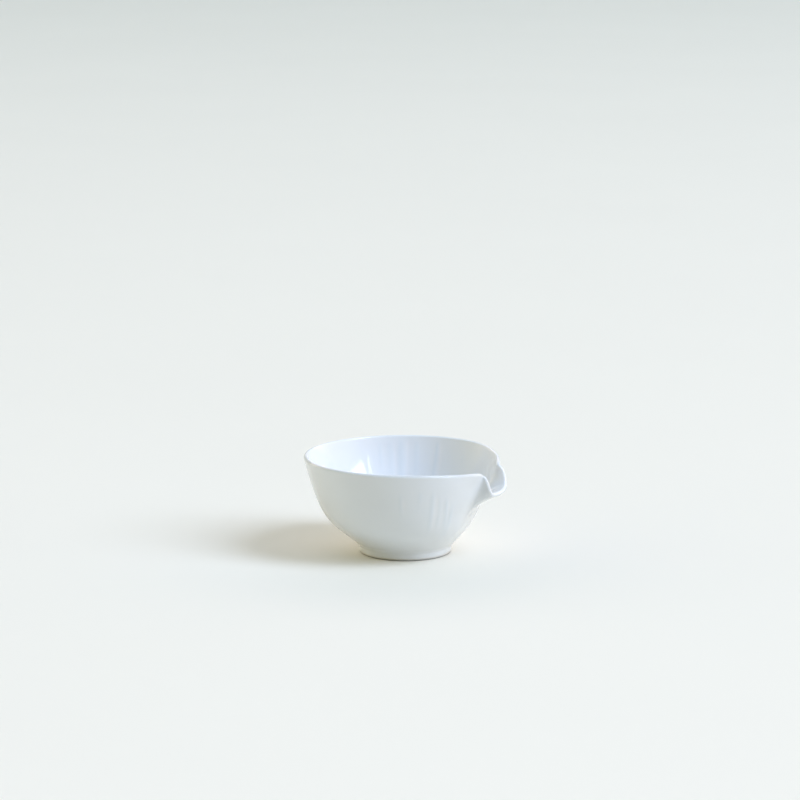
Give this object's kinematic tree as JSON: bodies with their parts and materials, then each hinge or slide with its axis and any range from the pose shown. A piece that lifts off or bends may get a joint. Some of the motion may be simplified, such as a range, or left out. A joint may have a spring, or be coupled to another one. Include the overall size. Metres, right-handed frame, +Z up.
{
  "type": "evaporating dish",
  "caption": "Open glazed white porcelain dish with a rounded wall, a pinched drooping pouring lip and a low foot ring that it stands on.",
  "frame": {"origin": "middle of the foot ring's resting plane", "axes": "+X from the middle toward the pouring lip, +Y to the left when looking along +X, +Z up, out of the open mouth"},
  "size_m": [0.1198, 0.12, 0.0582],
  "materials": {
    "bowl_body": "matte fired porcelain under the glaze",
    "foot_ring": "matte bare fired porcelain where it rests on the table",
    "outside_glaze": "glossy clear white glaze",
    "inside_glaze": "glossy clear white glaze",
    "foot_well_glaze": "glossy clear white glaze"
  },
  "bodies": {
    "root": {"bowl_body": "bowl_body", "foot_ring": "foot_ring", "outside_glaze": "outside_glaze", "inside_glaze": "inside_glaze", "foot_well_glaze": "foot_well_glaze"}
  },
  "joints": []
}
